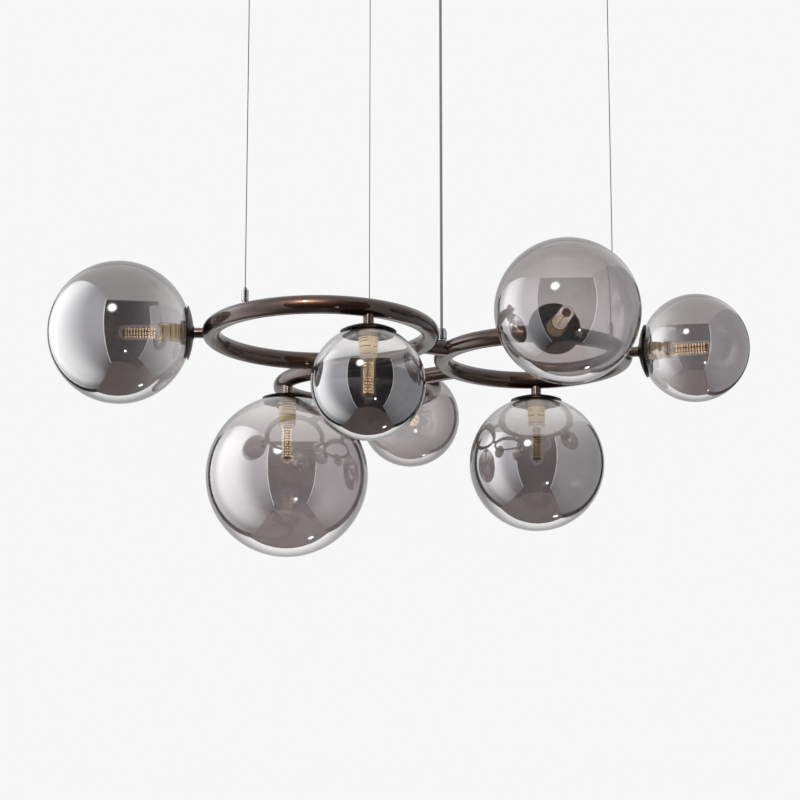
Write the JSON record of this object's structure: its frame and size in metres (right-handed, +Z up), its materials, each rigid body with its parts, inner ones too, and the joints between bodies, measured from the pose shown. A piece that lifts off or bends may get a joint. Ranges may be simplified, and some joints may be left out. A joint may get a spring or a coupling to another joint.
{
  "type": "chandelier",
  "caption": "Suspended chandelier of linked bronze tube rings carrying smoked glass globe lamps, hung level on thin steel wires with a centre power cord.",
  "frame": {"origin": "on the ceiling over the power cord, at the middle of the ceiling bracket", "axes": "+Z up, +X to the right and +Y away from someone facing the chandelier"},
  "size_m": [0.7429, 0.6085, 0.7408],
  "materials": {
    "bronze_tube": "satin dark bronze lacquer on steel tube",
    "bronze_cap": "near black bronze lacquer",
    "bronze_canopy": "satin dark bronze lacquer",
    "smoked_glass": "smoke grey glass with a half mirror coat, clear near the mouth",
    "gasket_rubber": "grey silicone",
    "holder_ceramic": "cream ceramic",
    "bulb_clear": "clear cover over a yellow diode core",
    "steel_wire": "stranded steel wire",
    "chrome_fitting": "polished chrome",
    "cord_grey": "grey sheathed cord",
    "zinc_steel": "zinc plated steel",
    "terminal_white": "white moulded plastic",
    "lead_insulation": "black lead insulation"
  },
  "bodies": {
    "frame": {"left_ring": "bronze_tube", "right_ring": "bronze_tube", "rear_ring": "bronze_tube", "left_right_link": "bronze_tube", "left_rear_link": "bronze_tube", "right_rear_link": "bronze_tube", "lamp_stems": "bronze_tube", "wire_grippers": "chrome_fitting", "left_wire": "steel_wire", "rear_wire": "steel_wire", "right_wire": "steel_wire", "power_cord": "cord_grey", "cord_gland": "chrome_fitting", "ceiling_bracket": "zinc_steel", "terminal_block": "terminal_white", "ceiling_cups": "chrome_fitting", "cup_bases": "zinc_steel", "wiring_loom": "lead_insulation", "left_cap": "bronze_cap", "front_cap": "bronze_cap", "right_front_cap": "bronze_cap", "right_cap": "bronze_cap", "right_low_cap": "bronze_cap", "back_cap": "bronze_cap", "centre_low_cap": "bronze_cap", "left_holder": "holder_ceramic", "front_holder": "holder_ceramic", "right_front_holder": "holder_ceramic", "right_holder": "holder_ceramic", "right_low_holder": "holder_ceramic", "back_holder": "holder_ceramic", "centre_low_holder": "holder_ceramic"},
    "left_gasket": {"left_gasket": "gasket_rubber"},
    "left_globe": {"left_globe": "smoked_glass"},
    "left_bulb": {"left_bulb": "bulb_clear"},
    "front_gasket": {"front_gasket": "gasket_rubber"},
    "front_globe": {"front_globe": "smoked_glass"},
    "front_bulb": {"front_bulb": "bulb_clear"},
    "right_front_gasket": {"right_front_gasket": "gasket_rubber"},
    "right_front_globe": {"right_front_globe": "smoked_glass"},
    "right_front_bulb": {"right_front_bulb": "bulb_clear"},
    "right_gasket": {"right_gasket": "gasket_rubber"},
    "right_globe": {"right_globe": "smoked_glass"},
    "right_bulb": {"right_bulb": "bulb_clear"},
    "right_low_gasket": {"right_low_gasket": "gasket_rubber"},
    "right_low_globe": {"right_low_globe": "smoked_glass"},
    "right_low_bulb": {"right_low_bulb": "bulb_clear"},
    "back_gasket": {"back_gasket": "gasket_rubber"},
    "back_globe": {"back_globe": "smoked_glass"},
    "back_bulb": {"back_bulb": "bulb_clear"},
    "centre_low_gasket": {"centre_low_gasket": "gasket_rubber"},
    "centre_low_globe": {"centre_low_globe": "smoked_glass"},
    "centre_low_bulb": {"centre_low_bulb": "bulb_clear"},
    "left_plunger": {"left_plunger": "chrome_fitting"},
    "rear_plunger": {"rear_plunger": "chrome_fitting"},
    "right_plunger": {"right_plunger": "chrome_fitting"},
    "canopy": {"canopy_cover": "bronze_canopy", "canopy_collar": "bronze_canopy"}
  },
  "joints": [
    {"name": "left_globe_lead", "type": "slide", "parent": "frame", "child": "left_gasket", "axis": [-0.9995, -0.0314, 0], "range_m": [0, 0.0075]},
    {"name": "left_globe_unscrew", "type": "hinge", "parent": "left_gasket", "child": "left_globe", "pos_m": [-0.33839, -0.06401, -0.54], "axis": [-0.9995, -0.0314, 0], "range_deg": [0, 900]},
    {"name": "left_bulb_pull", "type": "slide", "parent": "frame", "child": "left_bulb", "axis": [-0.9995, -0.0314, 0], "range_m": [0, 0.012]},
    {"name": "front_globe_lead", "type": "slide", "parent": "frame", "child": "front_gasket", "axis": [0, 0, -1], "range_m": [0, 0.0075]},
    {"name": "front_globe_unscrew", "type": "hinge", "parent": "front_gasket", "child": "front_globe", "pos_m": [-0.07656, -0.1604, -0.6188], "axis": [0, 0, -1], "range_deg": [0, 900]},
    {"name": "front_bulb_pull", "type": "slide", "parent": "frame", "child": "front_bulb", "axis": [0, 0, -1], "range_m": [0, 0.012]},
    {"name": "right_front_globe_lead", "type": "slide", "parent": "frame", "child": "right_front_gasket", "axis": [0.134, -0.991, 0], "range_m": [0, 0.0075]},
    {"name": "right_front_globe_unscrew", "type": "hinge", "parent": "right_front_gasket", "child": "right_front_globe", "pos_m": [0.12591, -0.14766, -0.54], "axis": [0.134, -0.991, 0], "range_deg": [0, 900]},
    {"name": "right_front_bulb_pull", "type": "slide", "parent": "frame", "child": "right_front_bulb", "axis": [0.134, -0.991, 0], "range_m": [0, 0.012]},
    {"name": "right_globe_lead", "type": "slide", "parent": "frame", "child": "right_gasket", "axis": [0.9681, -0.2504, 0], "range_m": [0, 0.0075]},
    {"name": "right_globe_unscrew", "type": "hinge", "parent": "right_gasket", "child": "right_globe", "pos_m": [0.27153, 0.00049, -0.54], "axis": [0.9681, -0.2504, 0], "range_deg": [0, 900]},
    {"name": "right_bulb_pull", "type": "slide", "parent": "frame", "child": "right_bulb", "axis": [0.9681, -0.2504, 0], "range_m": [0, 0.012]},
    {"name": "right_low_globe_lead", "type": "slide", "parent": "frame", "child": "right_low_gasket", "axis": [0, 0, -1], "range_m": [0, 0.0075]},
    {"name": "right_low_globe_unscrew", "type": "hinge", "parent": "right_low_gasket", "child": "right_low_globe", "pos_m": [0.10795, 0.14305, -0.6358], "axis": [0, 0, -1], "range_deg": [0, 900]},
    {"name": "right_low_bulb_pull", "type": "slide", "parent": "frame", "child": "right_low_bulb", "axis": [0, 0, -1], "range_m": [0, 0.012]},
    {"name": "back_globe_lead", "type": "slide", "parent": "frame", "child": "back_gasket", "axis": [0.3649, 0.9311, 0], "range_m": [0, 0.0075]},
    {"name": "back_globe_unscrew", "type": "hinge", "parent": "back_gasket", "child": "back_globe", "pos_m": [-0.03243, 0.3279, -0.54], "axis": [0.3649, 0.9311, 0], "range_deg": [0, 900]},
    {"name": "back_bulb_pull", "type": "slide", "parent": "frame", "child": "back_bulb", "axis": [0.3649, 0.9311, 0], "range_m": [0, 0.012]},
    {"name": "centre_low_globe_lead", "type": "slide", "parent": "frame", "child": "centre_low_gasket", "axis": [0, 0, -1], "range_m": [0, 0.0075]},
    {"name": "centre_low_globe_unscrew", "type": "hinge", "parent": "centre_low_gasket", "child": "centre_low_globe", "pos_m": [-0.17025, 0.13758, -0.6508], "axis": [0, 0, -1], "range_deg": [0, 900]},
    {"name": "centre_low_bulb_pull", "type": "slide", "parent": "frame", "child": "centre_low_bulb", "axis": [0, 0, -1], "range_m": [0, 0.012]},
    {"name": "left_plunger_press", "type": "slide", "parent": "frame", "child": "left_plunger", "axis": [0, 0, 1], "range_m": [-0.0015, 0], "stiffness_N_per_m": 400, "springref_m": 0.0005},
    {"name": "rear_plunger_press", "type": "slide", "parent": "frame", "child": "rear_plunger", "axis": [0, 0, 1], "range_m": [-0.0015, 0], "stiffness_N_per_m": 400, "springref_m": 0.0005},
    {"name": "right_plunger_press", "type": "slide", "parent": "frame", "child": "right_plunger", "axis": [0, 0, 1], "range_m": [-0.0015, 0], "stiffness_N_per_m": 400, "springref_m": 0.0005},
    {"name": "canopy_slide", "type": "slide", "parent": "frame", "child": "canopy", "axis": [0, 0, 1], "range_m": [-0.1, 0]}
  ],
  "couplings": [
    {"joint": "left_globe_lead", "follows": "left_globe_unscrew", "m_per_rad": 0.00047746},
    {"joint": "front_globe_lead", "follows": "front_globe_unscrew", "m_per_rad": 0.00047746},
    {"joint": "right_front_globe_lead", "follows": "right_front_globe_unscrew", "m_per_rad": 0.00047746},
    {"joint": "right_globe_lead", "follows": "right_globe_unscrew", "m_per_rad": 0.00047746},
    {"joint": "right_low_globe_lead", "follows": "right_low_globe_unscrew", "m_per_rad": 0.00047746},
    {"joint": "back_globe_lead", "follows": "back_globe_unscrew", "m_per_rad": 0.00047746},
    {"joint": "centre_low_globe_lead", "follows": "centre_low_globe_unscrew", "m_per_rad": 0.00047746}
  ]
}
